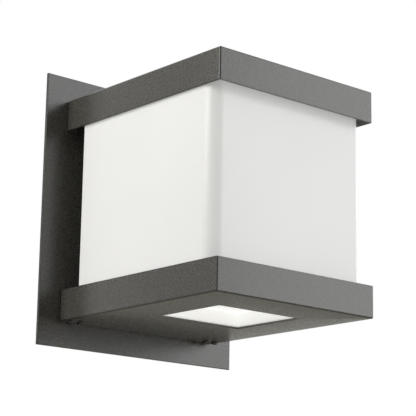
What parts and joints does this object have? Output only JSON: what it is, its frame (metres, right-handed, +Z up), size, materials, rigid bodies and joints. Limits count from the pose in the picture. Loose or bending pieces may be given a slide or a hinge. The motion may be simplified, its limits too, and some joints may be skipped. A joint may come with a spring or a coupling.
{
  "type": "outdoor wall lantern",
  "caption": "Box-shaped wall lantern: an opal U-shaped diffuser between a folded sheet cap and a tray with a lit square window, on a flat wall plate.",
  "frame": {"origin": "middle of the wall plate's back face, on the wall", "axes": "+X to the right seen from the front, +Y into the wall, +Z up; the lantern stands out towards -Y"},
  "size_m": [0.25, 0.238, 0.277],
  "materials": {
    "anthracite_coat": "fine-textured powder coat",
    "white_coat": "satin white powder coat",
    "opal_sheet": "satin opal acrylic",
    "bulb_opal": "opal",
    "bulb_white": "moulded",
    "seal_rubber": "matt",
    "white_silicone": "satin silicone",
    "black_zinc": "black zinc-plated",
    "seal_foam": "closed-cell foam",
    "zinc_steel": "zinc-plated",
    "stainless": "bright",
    "aluminium": "mill",
    "brass": "plain",
    "nickel_shell": "nickel-plated",
    "white_ceramic": "unglazed",
    "block_plastic": "moulded",
    "black_glass": "glassy",
    "phosphor": "domed",
    "brown_insulation": "smooth",
    "blue_insulation": "smooth",
    "green_insulation": "smooth, yellow stripe"
  },
  "bodies": {
    "fixture": {"wall_plate": "anthracite_coat", "carrier": "anthracite_coat", "carrier_rivets": "zinc_steel", "cable_grommet": "seal_rubber", "top_frame": "zinc_steel", "top_cap": "anthracite_coat", "cap_studs": "zinc_steel", "cap_nuts": "zinc_steel", "reflector_spacers": "aluminium", "ceiling_reflector": "white_coat", "top_seal": "seal_foam", "rear_panel": "white_coat", "panel_screws": "stainless", "side_seals": "seal_rubber", "tray_brackets": "anthracite_coat", "bracket_rivets": "zinc_steel", "tray_nuts": "zinc_steel", "terminal_block": "block_plastic", "terminal_screws": "brass", "block_screws": "zinc_steel", "earth_stud": "brass", "earth_nuts": "brass", "earth_lug": "brass", "wire_live": "brown_insulation", "wire_neutral": "blue_insulation", "wire_earth": "green_insulation", "lampholder_bracket": "zinc_steel", "lampholder_screws": "stainless", "lampholder_body": "white_ceramic", "lampholder_shell": "brass", "lampholder_contact": "brass"},
    "bulb": {"bulb_screw_cap": "nickel_shell", "bulb_insulator": "black_glass", "bulb_contact": "brass", "bulb_housing": "bulb_white", "bulb_board": "aluminium", "bulb_chips": "phosphor", "bulb_envelope": "bulb_opal"},
    "tray": {"bottom_tray": "anthracite_coat", "tray_screws": "black_zinc", "window_collar": "white_coat", "pane_gasket": "white_silicone", "window_pane": "opal_sheet", "pane_clips": "stainless", "diffuser": "opal_sheet", "diffuser_seal": "seal_rubber", "diffuser_rails": "aluminium", "diffuser_screws": "stainless"}
  },
  "joints": [
    {"name": "tray_lower", "type": "slide", "parent": "fixture", "child": "tray", "axis": [0, 0, -1], "range_m": [0, 0.2]},
    {"name": "bulb_turn", "type": "hinge", "parent": "fixture", "child": "bulb", "pos_m": [0, -0.135, 0.06], "axis": [0, 0, 1], "range_deg": [-1800, 0]}
  ]
}
